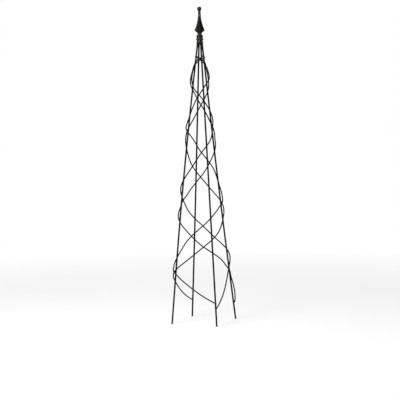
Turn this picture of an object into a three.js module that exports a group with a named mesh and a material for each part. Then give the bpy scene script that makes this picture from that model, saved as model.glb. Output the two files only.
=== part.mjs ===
// Garden obelisk: four rods spread from a beaded collar under a screwed-on finial, and
// four thin wires, two of each hand, wind down round the outside of the rods as a climbing lattice.
// Millimetres, +Z up, the origin on the ground at the centre of the four feet.
import * as THREE from "three";

// Legs: round rods on a square pyramid's edges, each bent a little by hand.
const LEG_RADIUS = 3.2;
const FOOT_SPREAD = 130.8; // leg centre from the axis, on the ground
const LEG_TAPER = 0.1144; // how much nearer the axis for each millimetre of height
const LEG_TOP = 1060.4; // the legs are welded under the collar
const LEG_SIDES = 16;
const LEG_STEPS = 12;
const LEG_NAMES = ["leg_right", "leg_back", "leg_left", "leg_front"];
const LEG_BOWS = [-3.5, -4, 6.5, 1]; // how far each bows out, half way up

// Lattice wires: the wires of one hand lie on the legs, and those of the other hand lift over them.
const WIRE_RADIUS = 2.35;
const WIRE_SIDES = 8;
const CONTACT_GAP = 0.5;
const LIFT = 2 * WIRE_RADIUS + CONTACT_GAP;
const LIFT_REACH = 50; // a wire starts to lift this far along the lattice from a crossing
const BULGE_TOP = 983; // the wires stand off the legs between these two heights
const BULGE_BOTTOM = 892;
const BULGE_DEPTH = 0.9;
const HUG_TURN = 60; // a wire starts beside its leg, and is outside the legs after this many degrees
const CUT_IN = 0.1; // half way between two legs, a wire cuts in by this share of the radius
const CUT_IN_TOP = 860; // above this height the wires are round
const CUT_IN_FULL = 760;
const CHORD_SAG = 0.18; // the most that a straight step of wire falls inside its circle
const LONGEST_STEP = 10;

// Routes: [height, degrees turned from the leg where the wire starts]. A wire runs nearly level at
// the top, almost straight down through the bulge, then ever more slowly round. Each is bent by hand
// to its own route, and ends at a leg, below the soil.
const WIRES = [
  {
    name: "lattice_wire_a", from: 0, hand: -1,
    route: [
      [1012, 22], [998, 111], [975, 169], [960, 183], [933, 198], [914, 218], [890, 246],
      [867, 283], [846, 308], [816, 339], [766, 381], [706, 426], [646, 474], [515, 550],
      [462, 583], [329, 673], [200, 763], [67, 810],
    ],
  },
  {
    name: "lattice_wire_b", from: 0, hand: 1,
    route: [
      [1015, 22], [1008, 69], [997, 106], [986, 129], [975, 137], [960, 141], [933, 153],
      [907, 173], [869, 217], [830, 249], [732, 318], [553, 433], [462, 497], [329, 587],
      [200, 678], [67, 720],
    ],
  },
  {
    name: "lattice_wire_c", from: 180, hand: 1,
    route: [
      [1012, 22], [998, 69], [975, 127], [960, 141], [933, 165], [914, 199], [884, 241],
      [846, 279], [766, 339], [706, 391], [646, 432], [580, 475], [515, 508], [462, 541],
      [420, 566], [329, 631], [200, 721], [85, 810],
    ],
  },
  {
    name: "lattice_wire_d", from: 180, hand: -1,
    route: [
      [1015, 22], [1005, 111], [997, 148], [986, 171], [975, 179], [960, 183], [933, 195],
      [907, 213], [869, 254], [830, 289], [732, 356], [640, 408], [553, 466], [462, 532],
      [329, 627], [200, 720], [67, 810],
    ],
  },
];

// Collar: a turned ferrule of three beads that the legs are welded under, with a pocket for the nut.
const COLLAR_BOTTOM = 1060.7;
const COLLAR_TOP = 1095;
const COLLAR_CORE = 11.4;
const COLLAR_ENDS = [12.5, 9.2]; // radius of the bottom and top faces
const BEADS = [
  { height: 1065.5, radius: 13, half: 3.4 },
  { height: 1077.5, radius: 14, half: 3.6 },
  { height: 1089, radius: 13, half: 3.2 },
];
const BEAD_STEPS = 6;
const POCKET_RADIUS = 6.3;
const POCKET_TOP = 1066.6;
const ROUND_SIDES = 32;

// Finial: a square spear with hollowed faces, a round neck below and a ball on its tip.
const FINIAL_BOTTOM = 1095.3;
const FINIAL_TURN = -18; // degrees, how far the spear's corners are turned from the legs
const NECK_RADIUS = 8;
const NECK_TOP = 1099.2;
const SPEAR_WIDEST = 1110.6;
const SPEAR_RADIUS = 18.8; // to a corner, where the spear is widest
const SPEAR_COVE = 0.8; // how far the flare under the spear is hollowed
const SPEAR_OUTLINE = [[1117, 16.9], [1125, 13.7], [1134, 10.9], [1144, 8.6], [1154, 6.5], [1166, 5.4]];
const SPEAR_TIP = [1178, 5];
const SPEAR_BAND = 1; // half the height of the band where the spear is widest
const SQUARE_FROM = 2; // the finial is square this far below its widest level
const FACE_HOLLOW = 0.13; // how far the middle of a face is hollowed, as a share of the corner's radius
const BALL_RADIUS = 8.3;
const BALL_HEIGHT = 1191.7;
const BALL_STEPS = 9;

// Stud and nut: an M6 stud that the finial screws on to, held by a nut in the collar's pocket.
const STUD_RADIUS = 3;
const STUD_BORE = 3.35;
const STUD_BOTTOM = 1060.2;
const STUD_TOP = 1117;
const BORE_TOP = 1119;
const NUT_FLATS = 10;
const NUT_HEIGHT = 5;
const NUT_TOP = 1066.3;

const BLACK_COAT = { color: 0x1b1b1a, roughness: 0.42, metalness: 0.35 };
const CAST_BLACK = { color: 0x1d1d1b, roughness: 0.5, metalness: 0.4 };
const BLACK_OXIDE = { color: 0x2a2a29, roughness: 0.45, metalness: 0.8 };

// How far the legs' centre lines are from the axis, at an angle in radians and a height. Between two
// legs it passes smoothly from one leg's bow to the next one's.
function legRadiusAt(angle, z) {
  const share = (i) => Math.max(0, Math.cos(angle - (i * Math.PI) / 2)) ** 2;
  const bow = LEG_BOWS.reduce((sum, most, i) => sum + most * share(i), 0);
  return FOOT_SPREAD - LEG_TAPER * z + bow * Math.sin((Math.PI * z) / LEG_TOP);
}

function named(name, geometry, look) {
  const mesh = new THREE.Mesh(geometry, new THREE.MeshStandardMaterial(look));
  mesh.name = name;
  return mesh;
}

// A solid of revolution about Z from [height, radius] points that start and end on the axis.
function turned(outline, sides = ROUND_SIDES) {
  const points = outline.map(([height, radius]) => new THREE.Vector2(radius, height));
  return new THREE.LatheGeometry(points, sides).rotateX(Math.PI / 2);
}

// The monotone cubic curve through a route's points: a function from height to degrees.
function smoothRoute(points) {
  const slopes = points.slice(1).map(([z, turn], i) => (turn - points[i][1]) / (z - points[i][0]));
  const tangents = points.map((_, i) => {
    const [above, below] = [slopes[i - 1], slopes[i]];
    if (above === undefined) return below;
    if (below === undefined) return above;
    return (2 * above * below) / (above + below || 1);
  });
  return (z) => {
    let i = 0;
    while (i < points.length - 2 && z < points[i + 1][0]) i += 1;
    const width = points[i + 1][0] - points[i][0];
    const t = (z - points[i][0]) / width;
    const ease = t * t * (3 - 2 * t);
    return (
      points[i][1] * (1 - ease) + points[i + 1][1] * ease +
      width * t * (1 - t) * (tangents[i] * (1 - t) - tangents[i + 1] * t)
    );
  };
}

const turns = WIRES.map(({ route }) => smoothRoute(route));
const angleAt = (index, z) => WIRES[index].from + WIRES[index].hand * turns[index](z);

function bulge(z) {
  if (z <= BULGE_BOTTOM || z >= BULGE_TOP) return 0;
  return BULGE_DEPTH * Math.sin((Math.PI * (z - BULGE_BOTTOM)) / (BULGE_TOP - BULGE_BOTTOM)) ** 2;
}

// How far the wires of the positive hand lift over the others: all the way at a crossing.
function lift(index, z, radius) {
  if (WIRES[index].hand < 0) return 0;
  const reach = Math.min(90, THREE.MathUtils.radToDeg(LIFT_REACH / radius));
  const lifts = WIRES.map(({ hand }, other) => {
    const apart = THREE.MathUtils.euclideanModulo(angleAt(index, z) - angleAt(other, z) + 180, 360) - 180;
    return hand < 0 && Math.abs(apart) < reach ? Math.cos((Math.PI / 2) * (apart / reach)) ** 2 : 0;
  });
  return LIFT * Math.max(...lifts);
}

// How far a wire pulls in towards the straight line from one leg to the next.
function cutIn(angle, z) {
  const share = CUT_IN * (1 - THREE.MathUtils.smoothstep(z, CUT_IN_FULL, CUT_IN_TOP));
  return share * legRadiusAt(angle, z) * Math.sin(2 * angle) ** 2;
}

function wirePoint(index, z) {
  const clear = LEG_RADIUS + CONTACT_GAP + WIRE_RADIUS;
  const angle = THREE.MathUtils.degToRad(angleAt(index, z));
  const radius = legRadiusAt(angle, z) + clear + bulge(z) - cutIn(angle, z);
  const outside = THREE.MathUtils.smoothstep(turns[index](z), WIRES[index].route[0][1], HUG_TURN);
  const placed = THREE.MathUtils.lerp(legRadiusAt(angle, z), radius + lift(index, z, radius), outside);
  return new THREE.Vector3(placed * Math.cos(angle), placed * Math.sin(angle), z);
}

// Points down a wire, closer together where its circle is small.
function wirePoints(index) {
  const route = WIRES[index].route;
  const [top, bottom] = [route[0][0], route[route.length - 1][0]];
  const fine = 4000;
  const points = [wirePoint(index, top)];
  let before = points[0];
  let walked = 0;
  for (let i = 1; i <= fine; i += 1) {
    const point = wirePoint(index, top + ((bottom - top) * i) / fine);
    walked += point.distanceTo(before);
    before = point;
    const step = Math.min(LONGEST_STEP, Math.sqrt(8 * CHORD_SAG * Math.hypot(point.x, point.y)));
    if (walked < step && i < fine) continue;
    points.push(point);
    walked = 0;
  }
  return points;
}

// A path that steps from point to point, so that each point gets one ring of the extrusion.
class PointPath extends THREE.Curve {
  constructor(points) {
    super();
    this.points = points;
  }

  getPoint(t, target = new THREE.Vector3()) {
    const place = THREE.MathUtils.clamp(t, 0, 1) * (this.points.length - 1);
    const i = Math.min(Math.floor(place), this.points.length - 2);
    return target.lerpVectors(this.points[i], this.points[i + 1], place - i);
  }

  getUtoTmapping(u) {
    return u;
  }
}

function roundSection(radius, sides) {
  const corners = Array.from({ length: sides }, (_, i) => {
    const angle = (2 * Math.PI * i) / sides;
    return new THREE.Vector2(radius * Math.cos(angle), radius * Math.sin(angle));
  });
  return new THREE.Shape(corners);
}

function latticeWire(index) {
  const points = wirePoints(index);
  const geometry = new THREE.ExtrudeGeometry(roundSection(WIRE_RADIUS, WIRE_SIDES), {
    steps: points.length - 1,
    extrudePath: new PointPath(points),
  });
  return named(WIRES[index].name, geometry, BLACK_COAT);
}

// A leg has level ends: each level of an upright rod is pushed out to its place on the X axis, and
// the rod then turns to its own side.
function leg(index) {
  const angle = (index * Math.PI) / 2;
  const geometry = new THREE.CylinderGeometry(LEG_RADIUS, LEG_RADIUS, LEG_TOP, LEG_SIDES, LEG_STEPS)
    .rotateX(Math.PI / 2)
    .translate(0, 0, LEG_TOP / 2);
  const position = geometry.getAttribute("position");
  for (let i = 0; i < position.count; i += 1) {
    position.setX(i, position.getX(i) + legRadiusAt(angle, position.getZ(i)));
  }
  const mesh = named(LEG_NAMES[index], geometry, BLACK_COAT);
  mesh.rotation.z = angle;
  return mesh;
}

function beadOutline({ height, radius, half }) {
  return Array.from({ length: BEAD_STEPS + 1 }, (_, i) => {
    const angle = (Math.PI * i) / BEAD_STEPS - Math.PI / 2;
    return [height + half * Math.sin(angle), COLLAR_CORE + (radius - COLLAR_CORE) * Math.cos(angle)];
  });
}

function collar() {
  const outline = [
    [COLLAR_BOTTOM, POCKET_RADIUS],
    [COLLAR_BOTTOM, COLLAR_ENDS[0]],
    ...BEADS.flatMap(beadOutline).filter(([z]) => z > COLLAR_BOTTOM + 2),
    [COLLAR_TOP, COLLAR_ENDS[1]],
    [COLLAR_TOP, STUD_BORE],
    [POCKET_TOP, STUD_BORE],
    [POCKET_TOP, POCKET_RADIUS],
    [COLLAR_BOTTOM, POCKET_RADIUS],
  ];
  return named("beaded_collar", turned(outline), CAST_BLACK);
}

function ballOutline() {
  const [tipHeight, tipRadius] = SPEAR_TIP;
  const first = Math.asin(tipRadius / BALL_RADIUS);
  const outline = [[tipHeight, tipRadius]];
  for (let i = 0; i <= BALL_STEPS; i += 1) {
    const angle = first + ((Math.PI - first) * i) / BALL_STEPS;
    outline.push([BALL_HEIGHT - BALL_RADIUS * Math.cos(angle), BALL_RADIUS * Math.sin(angle)]);
  }
  outline[outline.length - 1][1] = 0;
  return outline;
}

// How square the finial is at a height: round at both necks, square at the widest level.
function squareness(z) {
  const below = THREE.MathUtils.smoothstep(z, NECK_TOP, SPEAR_WIDEST - SQUARE_FROM);
  const above = 1 - THREE.MathUtils.smoothstep(z, SPEAR_OUTLINE[3][0], SPEAR_TIP[0]);
  return below * above;
}

function finial() {
  const geometry = turned([
    [BORE_TOP, 0],
    [BORE_TOP, STUD_BORE],
    [FINIAL_BOTTOM, STUD_BORE],
    [FINIAL_BOTTOM, NECK_RADIUS],
    [NECK_TOP, NECK_RADIUS],
    [(NECK_TOP + SPEAR_WIDEST) / 2, (NECK_RADIUS + SPEAR_RADIUS) / 2 - SPEAR_COVE],
    [SPEAR_WIDEST - SPEAR_BAND, SPEAR_RADIUS],
    [SPEAR_WIDEST + SPEAR_BAND, SPEAR_RADIUS],
    ...SPEAR_OUTLINE,
    ...ballOutline(),
  ]);
  const position = geometry.getAttribute("position");
  for (let i = 0; i < position.count; i += 1) {
    const [x, y, z] = [position.getX(i), position.getY(i), position.getZ(i)];
    const radius = Math.hypot(x, y);
    if (radius <= STUD_BORE + 0.01) continue;
    const across = (Math.abs(x) + Math.abs(y)) / radius;
    const hollow = 1 - FACE_HOLLOW * (across * across - 1);
    const scale = THREE.MathUtils.lerp(1, hollow / across, squareness(z));
    position.setXY(i, x * scale, y * scale);
  }
  const mesh = named("finial", geometry, CAST_BLACK);
  mesh.rotation.z = THREE.MathUtils.degToRad(FINIAL_TURN);
  return mesh;
}

function stud() {
  const length = STUD_TOP - STUD_BOTTOM;
  const geometry = new THREE.CylinderGeometry(STUD_RADIUS, STUD_RADIUS, length, LEG_SIDES)
    .rotateX(Math.PI / 2)
    .translate(0, 0, STUD_BOTTOM + length / 2);
  return named("finial_stud", geometry, BLACK_OXIDE);
}

function nut() {
  const shape = roundSection(NUT_FLATS / 2 / Math.cos(Math.PI / 6), 6);
  shape.holes.push(roundSection(STUD_BORE, LEG_SIDES));
  const geometry = new THREE.ExtrudeGeometry(shape, { depth: NUT_HEIGHT, bevelEnabled: false });
  geometry.translate(0, 0, NUT_TOP - NUT_HEIGHT);
  return named("stud_nut", geometry, BLACK_OXIDE);
}

const obelisk = new THREE.Group();
LEG_NAMES.forEach((_, i) => obelisk.add(leg(i)));
WIRES.forEach((_, i) => obelisk.add(latticeWire(i)));
obelisk.add(collar(), finial(), stud(), nut());

export default obelisk;
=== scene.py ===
"""A garden obelisk of black coated rods and wires, with a cast collar and finial, in a pale studio.

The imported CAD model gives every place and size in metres. The shapes here are worked out in
millimetres, as the CAD source has them, and turned into metres as each mesh is made.
"""
import math

import bpy
import numpy as np
from mathutils import Matrix, Vector, noise


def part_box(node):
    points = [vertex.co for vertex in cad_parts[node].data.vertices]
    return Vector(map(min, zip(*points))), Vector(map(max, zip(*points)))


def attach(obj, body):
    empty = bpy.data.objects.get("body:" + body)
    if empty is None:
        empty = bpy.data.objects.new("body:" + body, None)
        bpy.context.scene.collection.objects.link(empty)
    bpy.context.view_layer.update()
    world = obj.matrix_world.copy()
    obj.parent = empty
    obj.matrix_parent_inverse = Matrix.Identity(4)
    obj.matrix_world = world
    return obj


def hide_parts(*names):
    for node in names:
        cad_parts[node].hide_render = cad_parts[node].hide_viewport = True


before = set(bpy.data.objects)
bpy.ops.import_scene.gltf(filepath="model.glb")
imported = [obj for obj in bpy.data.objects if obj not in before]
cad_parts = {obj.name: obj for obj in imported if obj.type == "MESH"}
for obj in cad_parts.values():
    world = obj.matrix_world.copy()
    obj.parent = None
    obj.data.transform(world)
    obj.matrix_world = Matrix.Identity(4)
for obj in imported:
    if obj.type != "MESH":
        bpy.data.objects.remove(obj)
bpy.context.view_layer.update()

MM = 0.001
BODY = "root"


def box_mm(node):
    """The lowest and highest corners of a CAD node, in millimetres."""
    low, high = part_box(node)
    return np.array(low) / MM, np.array(high) / MM


# Legs: the frame gives their radius, spread and lean. Each is named with its own quarter turn, and
# bows by its own amount half way up, outwards or (below zero) inwards, as in the CAD model.
LEG_QUARTERS = {"leg_right": 0, "leg_back": 1, "leg_left": 2, "leg_front": 3}
leg_low, leg_high = box_mm("leg_right")
LEG_RADIUS = leg_high[1]
FOOT_SPREAD = leg_high[0] - LEG_RADIUS
LEG_TOP = leg_high[2]
LEG_TAPER = (FOOT_SPREAD - LEG_RADIUS - leg_low[0]) / LEG_TOP
LEG_BOWS = {"leg_right": -3.5, "leg_back": -4, "leg_left": 6.5, "leg_front": 1}
LEG_SIDES = 28
LEG_FIRST_RING = 20  # height of the lowest ring above the chamfer
LEG_RINGS = 40
FOOT_CHAMFER = 0.5
INTO_COLLAR = 1.2  # the legs run this far into their welds

# Lattice wires: the same routes as the CAD wires have, [height, degrees turned from the first leg].
# Here a wire touches what it is welded to, where the CAD wire keeps a small gap.
WIRE_RADIUS = 2.35
WIRE_SIDES = 20
WIRE_STEP = 2.5
WIRE_SAMPLES = 6000  # steps in which a wire's length is added up
WIRE_PROBE = 0.5  # a wire's direction is taken this far above and below a height
WIRE_END = [(0.0, 0.55), (0.12, 0.86), (0.4, 1.0)]  # a rounded end: depth, and share of the radius
LIFT = 2 * WIRE_RADIUS
LIFT_REACH = 50  # a wire starts to lift when the other is this far round from it
BULGE_TOP = 983
BULGE_BOTTOM = 892
BULGE_DEPTH = 0.9  # how far the wires stand off the legs half way between those heights
HUG_TURN = 60  # a wire has come out from beside its leg and lies on the legs by this turn
CUT_IN = 0.1  # how far they pull in between two legs, as a share of the legs' distance out
CUT_IN_TOP = 860  # they don't above this height
CUT_IN_FULL = 760  # and do in full below this one
WIRES = {
    "lattice_wire_a": {
        "start": 0, "hand": -1,
        "route": [
            [1012, 22], [998, 111], [975, 169], [960, 183], [933, 198], [914, 218], [890, 246],
            [867, 283], [846, 308], [816, 339], [766, 381], [706, 426], [646, 474], [515, 550],
            [462, 583], [329, 673], [200, 763], [67, 810],
        ],
    },
    "lattice_wire_b": {
        "start": 0, "hand": 1,
        "route": [
            [1015, 22], [1008, 69], [997, 106], [986, 129], [975, 137], [960, 141], [933, 153],
            [907, 173], [869, 217], [830, 249], [732, 318], [553, 433], [462, 497], [329, 587],
            [200, 678], [67, 720],
        ],
    },
    "lattice_wire_c": {
        "start": 180, "hand": 1,
        "route": [
            [1012, 22], [998, 69], [975, 127], [960, 141], [933, 165], [914, 199], [884, 241],
            [846, 279], [766, 339], [706, 391], [646, 432], [580, 475], [515, 508], [462, 541],
            [420, 566], [329, 631], [200, 721], [85, 810],
        ],
    },
    "lattice_wire_d": {
        "start": 180, "hand": -1,
        "route": [
            [1015, 22], [1005, 111], [997, 148], [986, 171], [975, 179], [960, 183], [933, 195],
            [907, 213], [869, 254], [830, 289], [732, 356], [640, 408], [553, 466], [462, 532],
            [329, 627], [200, 720], [67, 810],
        ],
    },
}

# Welds: a tack is a lump of (along the wire, across it, outwards) half sizes.
TACK_SIZE = (4.2, 3.0, 1.8)
CROSSING_TACK_SIZE = (3.2, 2.7, 1.7)
TOUCHING = 0.8  # a wire this close to a leg is welded to it
NEAR_LEG = 14  # degrees: two wires that cross this near a leg are tacked together
TACK_ROUGHNESS = 0.14
TACK_GRAIN = 1.9  # how fine that roughness is
TACK_NOISE_STEP = 7.3  # how far apart the noise of two tacks is taken
TACK_ROWS = 11
TACK_SIDES = 20
TACK_POLE = 0.12  # radians between a tack's last ring and its pole
LARGEST_STEP = 90  # degrees: a larger jump is where an angle starts again at -180
END_TACK_INSET = 1.3  # how far from a wire's end its last tack sits, in height
LEG_WELD_WIDTH = 1.5
LEG_WELD_DROP = 2.6
LEG_WELD_OVERLAP = 0.6  # how far a weld runs up into the collar
LEG_WELD_BITE = 0.25  # how far its edges run into the leg
LEG_WELD_TAPER = 0.45  # the share of its width that it has lost at its foot
LEG_WELD_WAVE = 0.5
LEG_WELD_FULLNESS = 0.7  # below 1, its section is fuller than a half ellipse
LEG_WELD_NOISE_STEP = 9  # how far apart the noise of two welds is taken
LEG_WELD_ROWS = 15
LEG_WELD_SIDES = 40

# Collar: beads of [height, radius, half height] on a core, the radii of its bottom and top faces,
# and the nut's pocket below. The bore is closer round the stud than the CAD model's.
COLLAR_CORE = 11.4
COLLAR_ENDS = (12.5, 9.2)
BEADS = [(1065.5, 13.0, 3.4), (1077.5, 14.0, 3.6), (1089.0, 13.0, 3.2)]
COLLAR_SHOULDER = [(1.2, 0.9), (0.3, 0.3), (0.0, -0.2)]  # below the top face, and past its radius
COLLAR_FOOT_INSET = 0.5  # how far the bottom face's edge is inside its radius
COLLAR_EDGE = 0.4  # height of the chamfers at the bottom face
POCKET_RADIUS = 6.3
POCKET_TOP = 1066.6
STUD_BORE = 3.05
BEAD_STEPS = 18
BEAD_FULLNESS = 0.85  # below 1, a bead is fuller than a half ellipse
CAST_SIDES = 128
CAST_WAVINESS = 0.07
PARTING_RIDGE = 0.12
PARTING_WIDTH = 3.5  # degrees

# Finial: a square spear with hollowed faces between a round neck and a ball.
FINIAL_TURN = math.radians(-18)
NECK_RADIUS = 8.0
NECK_TOP = 1099.2
SPEAR_WIDEST = 1110.6
SPEAR_RADIUS = 18.8
SPEAR_OUTLINE = [(1117, 16.9), (1125, 13.7), (1134, 10.9), (1144, 8.6), (1154, 6.5), (1166, 5.4)]
SPEAR_TIP = (1178, 5.0)
SPEAR_BAND = 1.0  # half the height of the band where the spear is widest
SPEAR_COVE = 0.8  # how far the flare under the spear is hollowed
SQUARE_FROM = 2.0  # the finial is square this far below its widest level
FACE_HOLLOW = 0.13
CORNER_ROUNDING = 0.018
CORNER_WEAR_AND_HIGHLIGHT = 5  # degrees that the wear and painted highlight reach from a corner
EDGE_WEAR_AND_HIGHLIGHT = 1.6  # how far they reach from the spear's widest level
EDGE_WEAR_AND_HIGHLIGHT_SHARE = 0.6  # how much wear and painted highlight that level gets, beside the corners
BALL_RADIUS = 8.3
BALL_HEIGHT = 1191.7
BALL_STEPS = 30
BALL_GAPS = (0.06, 0.05)  # radians left between the ball's rings and the spear's tip, and the top
BALL_FLAT = 0.15  # radius of the flat on the ball's top
SPEAR_GAP = 0.3  # the spear's rings stop at least this far below the ball
FINIAL_STEP = 0.5
BORE_TOP = 1119
BORE_END = 0.1  # radius of the last ring at the bore's closed end
BORE_EDGE = 0.3  # the bore's countersink

# Stud and nut: a metric thread, and a nut with chamfered corners.
THREAD_PITCH = 1.0
THREAD_DEPTH = 0.6
THREAD_STEPS = 6  # rings in one pitch
THREAD_FLAT = 0.25  # makes each crest and root flat over a sixth of the pitch
STUD_CHAMFER_LENGTH = 0.9
STUD_CHAMFER_DEPTH = 0.8
STUD_SIDES = 36
NUT_FLATS = 10.0
NUT_SINK = 0.45  # depth of the bore's countersink
NUT_FACE_INSET = 0.15  # how much smaller in radius than the flats a face is
NUT_PLAIN = 0.6  # share of its half height, from the middle, that has no rings
NUT_CHAMFER_STEPS = 8
NUT_SIDES = 96

# Floor: it glows a little, and fades into the white of the studio between these distances.
FLOOR_REACH = 40.0
FLOOR_COLOUR = (0.33, 0.33, 0.327)
FLOOR_GLOW = 0.6
FLOOR_FADE = (0.6, 2.6)
FLOOR_DIM = (0.35, 0.35, 0.35)
STUDIO_GLOW = 0.03  # how bright the white studio is as a light

# Camera: a long lens in front and a little to the left, looking slightly down.
CAMERA_AZIMUTH = math.radians(-20.8)
CAMERA_DISTANCE = 4.567
CAMERA_HEIGHT = 0.7727
CAMERA_ASIDE = -0.0088
CAMERA_PITCH = math.radians(3.82)
CAMERA_ROLL = math.radians(0.918)
CAMERA_LENS = 107.9


# ---------------------------------------------------------------- mesh helpers

def mesh_piece(name, points, faces, sharp=60):
    """A smooth shaded mesh object from points in millimetres."""
    mesh = bpy.data.meshes.new(name)
    mesh.from_pydata((np.asarray(points) * MM).tolist(), [], faces)
    mesh.shade_smooth()
    mesh.set_sharp_from_angle(angle=math.radians(sharp))
    piece = bpy.data.objects.new(name, mesh)
    bpy.context.scene.collection.objects.link(piece)
    return piece


def ring_faces(count, sides, closed=False):
    """Faces of a skin over rings of points; the ends are capped unless the rings close on themselves."""
    around = np.arange(sides)
    after = (around + 1) % sides
    faces = []
    for i in range(count if closed else count - 1):
        low, high = i * sides, (i + 1) % count * sides
        faces += np.stack([low + around, low + after, high + after, high + around], axis=1).tolist()
    if not closed:
        faces += [around[::-1].tolist(), ((count - 1) * sides + around).tolist()]
    return faces


def turned_rings(heights, radii, sides):
    """Level rings about a vertical axis. radii holds one radius for each ring, or for each point."""
    angles = np.linspace(0, 2 * math.pi, sides, endpoint=False)
    radii = np.broadcast_to(np.asarray(radii, float).reshape(len(heights), -1), (len(heights), sides))
    rings = np.empty((len(heights), sides, 3))
    rings[..., 0] = radii * np.cos(angles)
    rings[..., 1] = radii * np.sin(angles)
    rings[..., 2] = np.asarray(heights, float)[:, None]
    return rings


def skin(name, rings, closed=False, sharp=60):
    """A mesh object skinned over an array of rings."""
    count, sides, _ = rings.shape
    return mesh_piece(name, rings.reshape(-1, 3), ring_faces(count, sides, closed), sharp)


def ring_noise(heights, sides, across, along):
    """Smooth noise over rings: about `across` waves round, and one for each `along` of height."""
    angles = np.linspace(0, 2 * math.pi, sides, endpoint=False)
    return np.array([
        [noise.noise(Vector((across * math.cos(a), across * math.sin(a), z / along))) for a in angles]
        for z in heights
    ])


def smoothstep(value, low, high):
    share = np.clip((value - low) / (high - low), 0, 1)
    return share * share * (3 - 2 * share)


def monotone(knots, values, at):
    """The monotone cubic curve through the knots, with harmonic mean tangents."""
    knots, values, at = (np.asarray(v, float) for v in (knots, values, at))
    widths = np.diff(knots)
    slopes = np.diff(values) / widths
    tangents = np.empty_like(values)
    tangents[0], tangents[-1] = slopes[0], slopes[-1]
    total = slopes[:-1] + slopes[1:]
    product = slopes[:-1] * slopes[1:]
    safe = np.where(total == 0, 1, total)
    tangents[1:-1] = np.where(product > 0, 2 * product / safe, 0)
    i = np.clip(np.searchsorted(knots, at, side="right") - 1, 0, len(widths) - 1)
    t = (at - knots[i]) / widths[i]
    ease = t * t * (3 - 2 * t)
    bend = widths[i] * t * (1 - t) * (tangents[i] * (1 - t) - tangents[i + 1] * t)
    return values[i] * (1 - ease) + values[i + 1] * ease + bend


# ---------------------------------------------------------------- legs and lattice

def leg_radius_at(angle, z):
    """How far the legs' centre lines are from the axis, at an angle in radians and a height."""
    bow = sum(
        LEG_BOWS[name] * np.maximum(0, np.cos(angle - leg_angle(name))) ** 2 for name in LEG_BOWS
    )
    return FOOT_SPREAD - LEG_TAPER * z + bow * np.sin(math.pi * z / LEG_TOP)


def leg_angle(name):
    return LEG_QUARTERS[name] * math.pi / 2


def make_leg(name):
    """A rod, cut level at the foot with a small chamfer."""
    top = LEG_TOP + INTO_COLLAR
    heights = np.array([0, FOOT_CHAMFER, *np.linspace(LEG_FIRST_RING, top, LEG_RINGS)])
    radii = np.full(len(heights), LEG_RADIUS)
    radii[0] -= FOOT_CHAMFER
    rings = turned_rings(heights, radii, LEG_SIDES)
    rings[..., 0] += leg_radius_at(leg_angle(name), heights)[:, None]
    turn = np.array(Matrix.Rotation(leg_angle(name), 3, "Z"))
    return skin(f"rod_{name}", rings @ turn.T)


def wire_turn(name, z):
    """Degrees that a wire has turned at a height."""
    route = np.array(WIRES[name]["route"])[::-1]
    return monotone(route[:, 0], route[:, 1], z)


def wire_angle(name, z):
    """A wire's place round the axis, in degrees."""
    return WIRES[name]["start"] + WIRES[name]["hand"] * wire_turn(name, z)


def apart(angle, other):
    """The signed difference of two angles in degrees, from -180 to 180."""
    return (angle - other + 180) % 360 - 180


def bulge(z):
    """How far the wires stand off the legs in the bulge below the top."""
    share = np.clip((z - BULGE_BOTTOM) / (BULGE_TOP - BULGE_BOTTOM), 0, 1)
    return BULGE_DEPTH * np.sin(math.pi * share) ** 2


def cut_in(angle, z):
    """How far a wire pulls in towards the straight line from one leg to the next."""
    share = CUT_IN * (1 - smoothstep(z, CUT_IN_FULL, CUT_IN_TOP))
    return share * leg_radius_at(angle, z) * np.sin(2 * angle) ** 2


def lift(name, z, radius):
    """The wires of the positive hand lift over the others where they cross."""
    highest = np.zeros_like(radius)
    if WIRES[name]["hand"] > 0:
        reach = np.minimum(90, np.degrees(LIFT_REACH / radius))
        for other in WIRES:
            if WIRES[other]["hand"] < 0:
                gap = np.abs(apart(wire_angle(name, z), wire_angle(other, z)))
                rise = np.cos(math.pi / 2 * np.minimum(gap / reach, 1)) ** 2
                highest = np.maximum(highest, rise)
    return LIFT * highest


def wire_points(name, z):
    """Points on a wire's centre line at an array of heights."""
    angle = np.radians(wire_angle(name, z))
    beside_leg = leg_radius_at(angle, z)
    on_legs = beside_leg + LEG_RADIUS + WIRE_RADIUS + bulge(z) - cut_in(angle, z)
    outside = smoothstep(wire_turn(name, z), WIRES[name]["route"][0][1], HUG_TURN)
    radius = beside_leg * (1 - outside) + (on_legs + lift(name, z, on_legs)) * outside
    return np.stack([radius * np.cos(angle), radius * np.sin(angle), z], axis=1)


def wire_heights(name, step):
    """Heights down a wire, evenly spaced along its length."""
    route = WIRES[name]["route"]
    fine = np.linspace(route[0][0], route[-1][0], WIRE_SAMPLES)
    length = np.r_[0, np.cumsum(np.linalg.norm(np.diff(wire_points(name, fine), axis=0), axis=1))]
    return np.interp(np.linspace(0, length[-1], round(length[-1] / step)), length, fine)


def tube_rings(points, radius, sides):
    """Rings round a centre line that never runs straight in or out, with rounded cut ends."""
    tangents = np.gradient(points, axis=0)
    tangents /= np.linalg.norm(tangents, axis=1, keepdims=True)
    outward = points * [1, 1, 0]
    outward -= tangents * np.sum(outward * tangents, axis=1, keepdims=True)
    outward /= np.linalg.norm(outward, axis=1, keepdims=True)
    sideways = np.cross(tangents, outward)
    depths, shares = np.array(WIRE_END).T
    inner = len(points) - 2
    centres = np.concatenate([
        points[0] + tangents[0] * depths[:, None], points[1:-1],
        points[-1] - tangents[-1] * depths[::-1, None],
    ])
    scale = np.concatenate([shares, np.ones(inner), shares[::-1]])
    place = np.repeat(np.arange(len(points)), [len(depths)] + [1] * inner + [len(depths)])
    angles = np.linspace(0, 2 * math.pi, sides, endpoint=False)[None, :, None]
    section = np.cos(angles) * outward[place][:, None] + np.sin(angles) * sideways[place][:, None]
    return centres[:, None] + radius * scale[:, None, None] * section


def make_wire(name):
    points = wire_points(name, wire_heights(name, WIRE_STEP))
    return skin(f"round_{name}", tube_rings(points, WIRE_RADIUS, WIRE_SIDES))


# ---------------------------------------------------------------- welds

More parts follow.
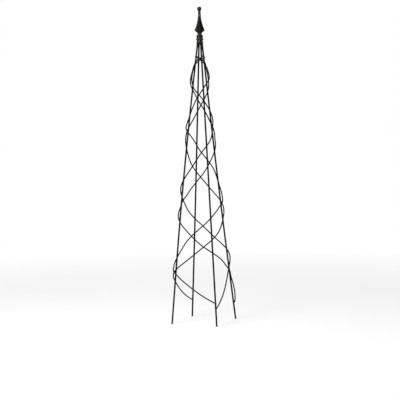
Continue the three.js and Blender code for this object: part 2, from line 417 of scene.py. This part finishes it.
def lump(centre, along, outward, half_sizes, seed):
    """A flattened drop of weld metal: points and faces of one closed lump."""
    across = np.cross(outward, along)
    last_ring = math.pi / 2 - TACK_POLE
    place = Vector((seed * TACK_NOISE_STEP, 0, 0))
    points = []
    for latitude in np.linspace(-last_ring, last_ring, TACK_ROWS):
        for longitude in np.linspace(0, 2 * math.pi, TACK_SIDES, endpoint=False):
            unit = np.array([
                math.cos(latitude) * math.cos(longitude), math.cos(latitude) * math.sin(longitude),
                math.sin(latitude),
            ])
            rough = 1 + TACK_ROUGHNESS * noise.noise(Vector(unit * TACK_GRAIN) + place)
            local = unit * half_sizes * rough
            points.append(centre + along * local[0] + across * local[1] + outward * local[2])
    return points, ring_faces(TACK_ROWS, TACK_SIDES)


def crossings(difference, heights):
    """Heights where a difference in degrees passes through zero, by linear steps.

    The tiny number only keeps two equal differences from dividing by zero.
    """
    before, after = difference[:-1], difference[1:]
    hits = np.nonzero((before * after <= 0) & (np.abs(before - after) < LARGEST_STEP))[0]
    share = before[hits] / (before[hits] - after[hits] + 1e-12)
    return heights[hits] + share * (heights[hits + 1] - heights[hits])


def wire_direction(name, z):
    """The unit vector down a wire at a height."""
    ends = wire_points(name, np.array([z + WIRE_PROBE, z - WIRE_PROBE]))
    return (ends[1] - ends[0]) / np.linalg.norm(ends[1] - ends[0])


def square_to(vector, normal):
    """vector's unit part square to a unit normal."""
    flat = vector - normal * np.dot(vector, normal)
    return flat / np.linalg.norm(flat)


def level_direction(angle):
    return np.array([math.cos(angle), math.sin(angle), 0])


def tacks_to_legs(name):
    """Where a wire lies against a leg: (place, along the wire, outward)."""
    heights = wire_heights(name, WIRE_STEP)
    tacks = []
    for angle in map(leg_angle, LEG_QUARTERS):
        toward = level_direction(angle)
        for z in crossings(apart(wire_angle(name, heights), math.degrees(angle)), heights):
            wire_at = wire_points(name, np.array([z]))[0]
            leg_at = toward * (leg_radius_at(angle, z) + LEG_RADIUS) + [0, 0, z]
            gap = np.dot(wire_at - leg_at, toward) - WIRE_RADIUS
            if gap < TOUCHING:
                tacks.append((leg_at, square_to(wire_direction(name, z), toward), toward))
    return tacks


def tacks_to_wires(name):
    """Where a wire crosses over one of the other hand close to a leg."""
    heights = wire_heights(name, WIRE_STEP)
    tacks = []
    for other in WIRES:
        if WIRES[other]["hand"] > 0 or WIRES[name]["hand"] < 0:
            continue
        for z in crossings(apart(wire_angle(name, heights), wire_angle(other, heights)), heights):
            if abs(apart(4 * wire_angle(name, z), 0)) / 4 > NEAR_LEG:
                continue
            upper, lower = wire_points(name, np.array([z]))[0], wire_points(other, np.array([z]))[0]
            outward = (upper - lower) / np.linalg.norm(upper - lower)
            tacks.append(((upper + lower) / 2, square_to(wire_direction(name, z), outward), outward))
    return tacks


def end_tacks(name):
    """Each wire starts beside one leg and ends against another."""
    route = WIRES[name]["route"]
    tacks = []
    for z in (route[0][0] - END_TACK_INSET, route[-1][0] + END_TACK_INSET):
        point = wire_points(name, np.array([z]))[0]
        angle = round(float(wire_angle(name, z)) / 90) * math.pi / 2
        toward = level_direction(angle)
        leg_at = toward * leg_radius_at(angle, z) + [0, 0, z]
        outward = (point - leg_at) / np.linalg.norm(point - leg_at)
        down_leg = toward * LEG_TAPER - [0, 0, 1]
        tacks.append((leg_at + outward * LEG_RADIUS, square_to(down_leg, outward), outward))
    return tacks


def make_tacks(name):
    """All the tack welds of one wire, as one piece."""
    spots = [(*spot, TACK_SIZE) for spot in tacks_to_legs(name) + end_tacks(name)]
    spots += [(*spot, CROSSING_TACK_SIZE) for spot in tacks_to_wires(name)]
    points, faces = [], []
    for seed, (centre, along, outward, half_sizes) in enumerate(spots):
        more, skins = lump(centre, along, outward, np.array(half_sizes), seed)
        faces += [[index + len(points) for index in face] for face in skins]
        points += more
    return mesh_piece(f"tacks_{name}", points, faces)


def make_leg_weld(name):
    """The bead of weld round a leg where it meets the collar's underside."""
    shares = np.linspace(0, math.pi, LEG_WELD_ROWS)
    top = box_mm("beaded_collar")[0][2] + LEG_WELD_OVERLAP
    fall = (1 - np.cos(shares)) / 2
    heights = top - (LEG_WELD_DROP + LEG_WELD_OVERLAP) * fall
    noise_heights = heights + LEG_WELD_NOISE_STEP * LEG_QUARTERS[name]
    wave = ring_noise(noise_heights, LEG_WELD_SIDES, across=3, along=2)
    width = LEG_WELD_WIDTH * (1 - LEG_WELD_TAPER * fall)[:, None] + LEG_WELD_WAVE * wave
    radii = LEG_RADIUS - LEG_WELD_BITE + width * np.sin(shares)[:, None] ** LEG_WELD_FULLNESS
    rings = turned_rings(heights, radii, LEG_WELD_SIDES)[::-1]
    rings[..., 0] += leg_radius_at(leg_angle(name), heights[::-1])[:, None]
    turn = np.array(Matrix.Rotation(leg_angle(name), 3, "Z"))
    return skin(f"weld_{name}", rings @ turn.T)


# ---------------------------------------------------------------- castings

def cast_surface(heights, radii, sides):
    """Adds the slight waviness of a sand casting and the ridge of its parting line."""
    angles = np.linspace(0, 2 * math.pi, sides, endpoint=False)
    wave = ring_noise(heights, sides, across=1.4, along=9)
    from_seam = np.abs(apart(2 * np.degrees(angles), 0)) / 2
    ridge = PARTING_RIDGE * np.exp(-(from_seam / PARTING_WIDTH) ** 2)
    return radii + CAST_WAVINESS * wave + ridge[None, :]


def mark_wear_and_highlight(piece, wear_and_highlight):
    """Keeps how rubbed each point of a casting is, from 0 to 1, for its material: the material paints it
    paler, partly as wear and partly as a painted highlight.
    """
    attribute = piece.data.attributes.new("wear_and_highlight", "FLOAT", "POINT")
    attribute.data.foreach_set("value", np.clip(wear_and_highlight, 0, 1).ravel())


def make_collar():
    """The outside goes up over the beads, and the inside comes down the bore and the nut's pocket."""
    low, high = box_mm("beaded_collar")
    heights, radii = [low[2]], [COLLAR_ENDS[0] - COLLAR_FOOT_INSET]
    for height, radius, half in BEADS:
        for angle in np.linspace(-math.pi / 2, math.pi / 2, BEAD_STEPS):
            z = height + half * math.sin(angle)
            if z > low[2] + COLLAR_EDGE:
                proud = (radius - COLLAR_CORE) * math.cos(angle) ** BEAD_FULLNESS
                heights.append(z)
                radii.append(COLLAR_CORE + proud)
    heights += [high[2] - below for below, _ in COLLAR_SHOULDER]
    radii += [COLLAR_ENDS[1] + past for _, past in COLLAR_SHOULDER]
    heights, radii = np.array(heights), np.array(radii)
    surface = cast_surface(heights, np.repeat(radii[:, None], CAST_SIDES, axis=1), CAST_SIDES)
    outside = turned_rings(heights, np.minimum(surface, high[0]), CAST_SIDES)
    inside = turned_rings(
        [high[2], POCKET_TOP, POCKET_TOP, low[2] + COLLAR_EDGE, low[2]],
        [STUD_BORE, STUD_BORE, POCKET_RADIUS, POCKET_RADIUS, POCKET_RADIUS + COLLAR_EDGE],
        CAST_SIDES,
    )
    piece = skin("cast_collar", np.concatenate([outside, inside]), closed=True)
    # The proudest bead crests are marked to be painted paler: partly wear, partly a painted highlight.
    worn_and_highlit = ((radii - COLLAR_CORE) / (high[0] - COLLAR_CORE)).clip(0, 1) ** 2
    mark_wear_and_highlight(piece, np.repeat(np.r_[worn_and_highlit, np.zeros(len(inside))][:, None], CAST_SIDES, axis=1))
    return piece


def finial_outline():
    """Heights and corner radii of the finial's outside, from its bottom face to the top of its ball."""
    bottom, top = (corner[2] for corner in box_mm("finial"))
    knots = [(bottom, NECK_RADIUS), (NECK_TOP, NECK_RADIUS)]
    knots += [((NECK_TOP + SPEAR_WIDEST) / 2, (NECK_RADIUS + SPEAR_RADIUS) / 2 - SPEAR_COVE)]
    knots += [(SPEAR_WIDEST + side * SPEAR_BAND, SPEAR_RADIUS) for side in (-1, 1)]
    knots += [*SPEAR_OUTLINE, SPEAR_TIP]
    first = math.asin(SPEAR_TIP[1] / BALL_RADIUS)
    ball_bottom = BALL_HEIGHT - BALL_RADIUS * math.cos(first)
    knots += [(ball_bottom, SPEAR_TIP[1])]
    heights = np.arange(bottom, ball_bottom - SPEAR_GAP, FINIAL_STEP)
    radii = monotone(*zip(*knots), heights)
    angles = np.linspace(first + BALL_GAPS[0], math.pi - BALL_GAPS[1], BALL_STEPS)
    ball = np.stack([BALL_HEIGHT - BALL_RADIUS * np.cos(angles), BALL_RADIUS * np.sin(angles)])
    heights, radii = np.r_[heights, ball[0], top], np.r_[radii, ball[1], BALL_FLAT]
    return heights, radii


def make_finial():
    """The stud's bore, and the outside: round at both ends, square with hollow faces between."""
    heights, radii = finial_outline()
    sides = CAST_SIDES
    angles = np.linspace(0, 2 * math.pi, sides, endpoint=False)
    soft = CORNER_ROUNDING
    across = np.hypot(np.cos(angles), soft) + np.hypot(np.sin(angles), soft) - soft
    section = (1 - FACE_HOLLOW * (across ** 2 - 1)) / across
    square = smoothstep(heights, NECK_TOP, SPEAR_WIDEST - SQUARE_FROM)
    square *= 1 - smoothstep(heights, SPEAR_OUTLINE[3][0], SPEAR_TIP[0])
    shape = 1 + square[:, None] * (section[None, :] - 1)
    surface = cast_surface(heights, radii[:, None] * shape, sides)
    on_ball = heights > BALL_HEIGHT - BALL_RADIUS
    surface[on_ball] = (radii[:, None] * shape)[on_ball]
    bore_heights = [BORE_TOP, BORE_TOP, heights[0] + BORE_EDGE, heights[0]]
    bore_radii = [BORE_END, STUD_BORE, STUD_BORE, STUD_BORE + BORE_EDGE]
    bore = turned_rings(bore_heights, bore_radii, sides)
    rings = np.concatenate([bore, turned_rings(heights, surface, sides)])
    turn = np.array(Matrix.Rotation(FINIAL_TURN, 3, "Z"))
    piece = skin("cast_finial", rings @ turn.T, sharp=75)
    # The corners and the widest level of the spear are marked to be painted paler: partly wear, partly a
    # painted highlight.
    from_corner = np.abs(apart(4 * np.degrees(angles), 0)) / 4
    corner = np.exp(-(from_corner / CORNER_WEAR_AND_HIGHLIGHT) ** 2)
    edge = np.exp(-((heights - SPEAR_WIDEST) / EDGE_WEAR_AND_HIGHLIGHT) ** 2)
    paler_share = square[:, None] * np.maximum(corner[None, :], EDGE_WEAR_AND_HIGHLIGHT_SHARE * edge[:, None])
    mark_wear_and_highlight(piece, np.concatenate([np.zeros((len(bore), sides)), paler_share]))
    return piece


# ---------------------------------------------------------------- fasteners

def make_stud():
    """A threaded stud: the groove's depth is a triangle wave along the helix."""
    low, high = box_mm("finial_stud")
    angles = np.linspace(0, 2 * math.pi, STUD_SIDES, endpoint=False)
    heights = np.arange(low[2], high[2] + 0.01, THREAD_PITCH / THREAD_STEPS)
    phase = (heights[:, None] / THREAD_PITCH - angles[None, :] / (2 * math.pi)) % 1
    slope = 1 + 2 * THREAD_FLAT
    groove = THREAD_DEPTH * np.clip(1 + THREAD_FLAT - np.abs(2 * phase - 1) * slope, 0, 1)
    from_end = np.minimum(heights - low[2], high[2] - heights)[:, None]
    chamfer = np.clip(STUD_CHAMFER_LENGTH - from_end, 0, STUD_CHAMFER_DEPTH)
    radii = np.minimum(high[0] - groove, high[0] - chamfer)
    return skin("threaded_stud", turned_rings(heights, radii, STUD_SIDES), sharp=80)


def make_nut():
    """A hexagon nut: flats cut by a chamfer cone at both faces, round a bore with a countersink."""
    low, high = box_mm("stud_nut")
    middle, half = (low[2] + high[2]) / 2, (high[2] - low[2]) / 2
    angles = np.linspace(0, 2 * math.pi, NUT_SIDES, endpoint=False)
    hexagon = NUT_FLATS / 2 / np.cos((angles + math.pi / 6) % (math.pi / 3) - math.pi / 6)
    lower = np.linspace(-1, -NUT_PLAIN, NUT_CHAMFER_STEPS)
    upper = np.linspace(NUT_PLAIN, 1, NUT_CHAMFER_STEPS)
    levels = np.r_[lower, upper] * half
    cone = NUT_FLATS / 2 - NUT_FACE_INSET + (half - np.abs(levels)) * math.sqrt(3)
    outside = turned_rings(middle + levels, np.minimum(hexagon[None, :], cone[:, None]), NUT_SIDES)
    bore_levels = np.array([half, half - NUT_SINK, NUT_SINK - half, -half])
    bore_radii = STUD_BORE + NUT_SINK * np.array([1, 0, 0, 1])
    bore = turned_rings(middle + bore_levels, bore_radii, NUT_SIDES)
    return skin("hexagon_nut", np.concatenate([outside, bore]), closed=True, sharp=28)


# ---------------------------------------------------------------- materials

def node(tree, kind, **settings):
    """A new shader node; settings are its properties, or its inputs by name with _ for a space."""
    made = tree.nodes.new(kind)
    for key, value in settings.items():
        if hasattr(made, key):
            setattr(made, key, value)
        else:
            made.inputs[key.replace("_", " ")].default_value = value
    return made


def coordinates(tree):
    return tree.nodes.new("ShaderNodeTexCoord").outputs["Object"]


def noise_of(tree, scale, detail=4.0, roughness=0.55, vector=None):
    """A noise value between 0 and 1. The scale is in waves for each metre."""
    made = node(tree, "ShaderNodeTexNoise", Scale=scale, Detail=detail, Roughness=roughness)
    tree.links.new(vector or coordinates(tree), made.inputs["Vector"])
    return made.outputs["Fac"]


def ranged(tree, value, low, high, to_low=0.0, to_high=1.0):
    made = node(tree, "ShaderNodeMapRange", interpolation_type="SMOOTHSTEP")
    for name, number in (("From Min", low), ("From Max", high), ("To Min", to_low), ("To Max", to_high)):
        made.inputs[name].default_value = number
    tree.links.new(value, made.inputs["Value"])
    return made.outputs["Result"]


def maths(tree, operation, first, second):
    made = node(tree, "ShaderNodeMath", operation=operation)
    for socket, value in zip(made.inputs, (first, second)):
        if isinstance(value, (int, float)):
            socket.default_value = value
        else:
            tree.links.new(value, socket)
    return made.outputs[0]


def mixed(tree, share, first, second):
    """A colour between two, each a tuple or a socket, by a share socket."""
    made = node(tree, "ShaderNodeMix", data_type="RGBA")
    tree.links.new(share, made.inputs[0])
    for socket, value in zip((made.inputs[6], made.inputs[7]), (first, second)):
        if isinstance(value, tuple):
            socket.default_value = (*value, 1)
        else:
            tree.links.new(value, socket)
    return made.outputs[2]


def blended(tree, share, first, second):
    """A shader between two, by a share socket."""
    made = tree.nodes.new("ShaderNodeMixShader")
    for socket, value in zip(made.inputs, (share, first, second)):
        tree.links.new(value, socket)
    return made.outputs[0]


def bumped(tree, height, distance, strength=1.0, under=None):
    made = node(tree, "ShaderNodeBump", Strength=strength, Distance=distance)
    tree.links.new(height, made.inputs["Height"])
    if under:
        tree.links.new(under, made.inputs["Normal"])
    return made.outputs["Normal"]


def new_material(name, **uniform):
    """An empty material with its shader; uniform numbers are set on the shader's own sockets."""
    material = bpy.data.materials.new(name)
    material.use_nodes = True
    shader = material.node_tree.nodes["Principled BSDF"]
    for key, value in uniform.items():
        shader.inputs[key.replace("_", " ")].default_value = value
    return material, material.node_tree, shader


def dust_share(tree, most):
    """Fine dust that settles in patches on what faces up."""
    normal = node(tree, "ShaderNodeSeparateXYZ")
    tree.links.new(tree.nodes.new("ShaderNodeNewGeometry").outputs["Normal"], normal.inputs[0])
    facing_up = ranged(tree, normal.outputs["Z"], 0.15, 0.95)
    patches = ranged(tree, noise_of(tree, 260, 5, 0.65), 0.38, 0.7)
    return maths(tree, "MULTIPLY", maths(tree, "MULTIPLY", facing_up, patches), most)


def coat_material():
    """Satin black powder coat on the rods, wires and welds, with a fine orange peel."""
    material, tree, shader = new_material("black_powder_coat", Metallic=0.0, Specular_IOR_Level=0.12)
    tone = ranged(tree, noise_of(tree, 30, 3), 0.35, 0.65)
    colour = mixed(tree, tone, (0.0022, 0.0022, 0.002), (0.0046, 0.0045, 0.004))
    colour = mixed(tree, dust_share(tree, 0.1), colour, (0.08, 0.075, 0.066))
    tree.links.new(colour, shader.inputs["Base Color"])
    smears = ranged(tree, noise_of(tree, 120, 5, 0.6), 0.3, 0.7, 0.33, 0.47)
    tree.links.new(smears, shader.inputs["Roughness"])
    peel = bumped(tree, noise_of(tree, 1100, 2, 0.5), 0.00006, 0.7)
    runs = bumped(tree, noise_of(tree, 170, 2, 0.5), 0.0002, 0.35, peel)
    tree.links.new(runs, shader.inputs["Normal"])
    return material


def cast_material():
    """Black coat over sand cast iron: grainy, a little pitted, rubbed smoother and paler on its edges;
    the paler paint there is partly wear and partly a painted highlight.
    """
    material, tree, shader = new_material("black_cast_iron", Metallic=0.0, Specular_IOR_Level=0.25)
    wear_and_highlight = node(tree, "ShaderNodeAttribute", attribute_name="wear_and_highlight").outputs["Fac"]
    paler_share = maths(tree, "MULTIPLY", wear_and_highlight, ranged(tree, noise_of(tree, 420, 5, 0.7), 0.35, 0.68))
    tone = ranged(tree, noise_of(tree, 90, 4), 0.35, 0.65)
    colour = mixed(tree, tone, (0.0022, 0.0022, 0.002), (0.0046, 0.0046, 0.004))
    # Paler paint on the marked edges and crests: partly wear, partly a painted highlight.
    colour = mixed(tree, paler_share, colour, (0.05, 0.049, 0.046))
    colour = mixed(tree, dust_share(tree, 0.16), colour, (0.12, 0.112, 0.098))
    tree.links.new(colour, shader.inputs["Base Color"])
    grain_gloss = ranged(tree, noise_of(tree, 500, 4, 0.6), 0.3, 0.7, 0.26, 0.4)
    gloss = maths(tree, "SUBTRACT", grain_gloss, maths(tree, "MULTIPLY", paler_share, 0.08))
    tree.links.new(gloss, shader.inputs["Roughness"])
    grain = bumped(tree, noise_of(tree, 750, 5, 0.62), 0.00022, 0.75)
    pits = ranged(tree, noise_of(tree, 330, 3, 0.5), 0.26, 0.36)
    pitted = bumped(tree, pits, 0.00025, 0.6, grain)
    tree.links.new(pitted, shader.inputs["Normal"])
    return material


def oxide_material():
    """Black oxide on steel: an oily dark grey with paler rubbed patches and fine machining marks."""
    material, tree, shader = new_material("black_oxide_steel", Metallic=1.0)
    tone = ranged(tree, noise_of(tree, 350, 5, 0.65), 0.35, 0.7)
    colour = mixed(tree, tone, (0.028, 0.028, 0.03), (0.05, 0.049, 0.047))
    paler_share = ranged(tree, noise_of(tree, 900, 4, 0.7), 0.58, 0.72, 0, 0.5)
    colour = mixed(tree, paler_share, colour, (0.14, 0.14, 0.135))
    tree.links.new(colour, shader.inputs["Base Color"])
    tree.links.new(ranged(tree, noise_of(tree, 500, 4), 0.3, 0.7, 0.36, 0.55), shader.inputs["Roughness"])
    tree.links.new(bumped(tree, noise_of(tree, 1600, 3), 0.00004, 0.6), shader.inputs["Normal"])
    return material


# ---------------------------------------------------------------- studio

def polar(from_camera, elevation, distance):
    """A place seen from the obelisk's foot: degrees round from the camera, to its right, and up."""
    angle = CAMERA_AZIMUTH - math.pi / 2 + math.radians(from_camera)
    level = distance * math.cos(math.radians(elevation))
    height = distance * math.sin(math.radians(elevation))
    return Vector((level * math.cos(angle), level * math.sin(angle), height))


def area_light(name, place, aim, size, power):
    lamp = bpy.data.lights.new(name, "AREA")
    lamp.shape = "RECTANGLE"
    lamp.size, lamp.size_y = size
    lamp.energy = power
    light = bpy.data.objects.new(name, lamp)
    light.location = place
    light.rotation_euler = (aim - place).to_track_quat("-Z", "Y").to_euler()
    bpy.context.scene.collection.objects.link(light)


def make_studio():
    middle = Vector((0, 0, 0.75))
    area_light("key_light", polar(-38, 42, 2.6), middle, (1.2, 1.0), 80)
    area_light("side_light", polar(62, 20, 2.6), middle, (0.5, 1.6), 20)
    area_light("top_light", Vector((0, 0, 3.2)), middle, (1.6, 1.6), 22)
    area_light("back_light", polar(180, 45, 3.0), middle, (1.6, 1.2), 22)
    world = bpy.data.worlds.new("white_studio")
    world.use_nodes = True
    tree = world.node_tree
    tree.nodes.clear()
    seen = node(tree, "ShaderNodeBackground", Color=(1, 1, 1, 1), Strength=1.0)
    lit = node(tree, "ShaderNodeBackground", Color=(1, 1, 1, 1), Strength=STUDIO_GLOW)
    rays = tree.nodes.new("ShaderNodeLightPath")
    whole = blended(tree, rays.outputs["Is Camera Ray"], lit.outputs[0], seen.outputs[0])
    tree.links.new(whole, tree.nodes.new("ShaderNodeOutputWorld").inputs[0])
    bpy.context.scene.world = world
    bpy.context.scene.view_settings.view_transform = "Standard"


def make_floor():
    """A pale floor that fades into the white studio, and that the metal mirrors as a dim one."""
    mesh = bpy.data.meshes.new("floor")
    corners = [(-FLOOR_REACH, -FLOOR_REACH, 0), (FLOOR_REACH, -FLOOR_REACH, 0)]
    corners += [(FLOOR_REACH, FLOOR_REACH, 0), (-FLOOR_REACH, FLOOR_REACH, 0)]
    mesh.from_pydata(corners, [], [(0, 1, 2, 3)])
    floor = bpy.data.objects.new("floor", mesh)
    bpy.context.scene.collection.objects.link(floor)
    material, tree, shader = new_material(
        "pale_floor", Roughness=0.9, Base_Color=(*FLOOR_COLOUR, 1), Emission_Color=(1, 1, 1, 1),
        Emission_Strength=FLOOR_GLOW,
    )
    distance = node(tree, "ShaderNodeVectorMath", operation="LENGTH")
    tree.links.new(coordinates(tree), distance.inputs[0])
    far = ranged(tree, distance.outputs["Value"], *FLOOR_FADE)
    white = node(tree, "ShaderNodeEmission", Color=(1, 1, 1, 1), Strength=1.0)
    seen = blended(tree, far, shader.outputs[0], white.outputs[0])
    dim = node(tree, "ShaderNodeBsdfDiffuse", Color=(*FLOOR_DIM, 1))
    rays = tree.nodes.new("ShaderNodeLightPath")
    whole = blended(tree, rays.outputs["Is Camera Ray"], dim.outputs[0], seen)
    tree.links.new(whole, tree.nodes["Material Output"].inputs[0])
    mesh.materials.append(material)


def make_camera():
    right = Vector((math.cos(CAMERA_AZIMUTH), math.sin(CAMERA_AZIMUTH), 0))
    toward = Vector((math.sin(CAMERA_AZIMUTH), -math.cos(CAMERA_AZIMUTH), 0))
    up = Vector((0, 0, 1))
    back = toward * math.cos(CAMERA_PITCH) + up * math.sin(CAMERA_PITCH)
    level_up = back.cross(right)
    rolled_up = level_up * math.cos(CAMERA_ROLL) + right * math.sin(CAMERA_ROLL)
    rolled_right = rolled_up.cross(back)
    lens = bpy.data.cameras.new("camera")
    lens.lens = CAMERA_LENS
    camera = bpy.data.objects.new("camera", lens)
    camera.matrix_world = Matrix((rolled_right, rolled_up, back)).transposed().to_4x4()
    camera.location = toward * CAMERA_DISTANCE + right * CAMERA_ASIDE + up * CAMERA_HEIGHT
    bpy.context.scene.collection.objects.link(camera)
    bpy.context.scene.camera = camera


# ---------------------------------------------------------------- assembly

def finish_piece(piece, material, slot, *replaced):
    """Gives a piece its material and its place in the object."""
    piece.data.materials.clear()
    piece.data.materials.append(material)
    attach(piece, BODY)
    if replaced:
        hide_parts(*replaced)


make_camera()
make_studio()
make_floor()

black_coat = coat_material()
cast_black = cast_material()
black_oxide = oxide_material()

for leg_name in LEG_QUARTERS:
    finish_piece(make_leg(leg_name), black_coat, "black_coat", leg_name)
    finish_piece(make_leg_weld(leg_name), black_coat, "black_coat")
for wire_name in WIRES:
    finish_piece(make_wire(wire_name), black_coat, "black_coat", wire_name)
    finish_piece(make_tacks(wire_name), black_coat, "black_coat")
finish_piece(make_collar(), cast_black, "cast_black", "beaded_collar")
finish_piece(make_finial(), cast_black, "cast_black", "finial")
finish_piece(make_stud(), black_oxide, "black_oxide", "finial_stud")
finish_piece(make_nut(), black_oxide, "black_oxide", "stud_nut")
